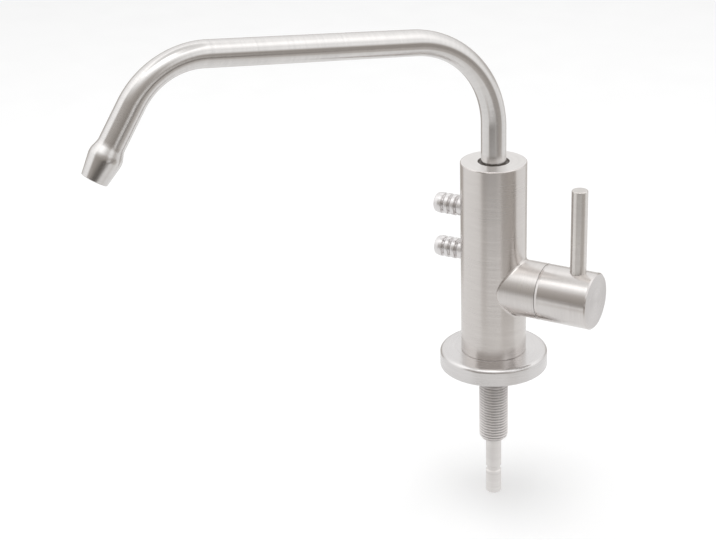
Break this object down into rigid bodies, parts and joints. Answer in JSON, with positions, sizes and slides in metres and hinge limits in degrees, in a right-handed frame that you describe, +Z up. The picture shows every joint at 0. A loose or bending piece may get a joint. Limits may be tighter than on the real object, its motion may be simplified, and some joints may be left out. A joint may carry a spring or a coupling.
{
  "type": "drinking water filter tap",
  "caption": "Deck-mounted tap with a swivel swan-neck spout, a quarter-turn side lever valve, hose barbs for an external filter and a threaded inlet shank.",
  "frame": {"origin": "centre of the base flange's underside, where the shank leaves it, in the plane of the worktop", "axes": "+Z up along the column, -Y the way the spout points at rest, towards the user"},
  "size_m": [0.0653, 0.1955, 0.2126],
  "materials": {
    "steel_turned": "satin, fine turning marks around the axis",
    "steel_tube": "satin, fine marks along the tube",
    "steel_thread": "machined",
    "spring_steel": "bright",
    "brass": "machined",
    "rubber": "matte",
    "ceramic": "polished",
    "dark_plastic": "matte",
    "pale_plastic": "matte"
  },
  "bodies": {
    "body": {"base_flange": "steel_turned", "base_ring": "rubber", "inlet_shank": "steel_thread", "shank_seal": "rubber", "column_body": "steel_turned", "hose_barb_upper": "steel_thread", "hose_barb_lower": "steel_thread", "cartridge_body": "brass", "cartridge_o_ring": "rubber", "seat_seal": "rubber", "fixed_disc": "ceramic"},
    "handle": {"moving_disc": "ceramic", "spindle": "brass", "spindle_o_rings": "rubber", "thrust_washer": "pale_plastic", "spindle_clip": "spring_steel", "handle_knob": "steel_turned", "lever_rod": "steel_turned", "handle_grub_screw": "spring_steel"},
    "spout": {"spout_tube": "steel_tube", "spout_sleeve": "brass", "spout_o_rings": "rubber", "spout_snap_ring": "spring_steel", "spout_bush": "dark_plastic", "outlet_nozzle": "steel_turned"}
  },
  "joints": [
    {"name": "valve_turn", "type": "hinge", "parent": "body", "child": "handle", "pos_m": [0.01879, 0.01201, 0.036], "axis": [0.8425, 0.5388, 0], "range_deg": [0, 90]},
    {"name": "spout_swivel", "type": "hinge", "parent": "body", "child": "spout", "pos_m": [0, 0, 0.0868], "axis": [0, 0, 1], "continuous": true}
  ]
}
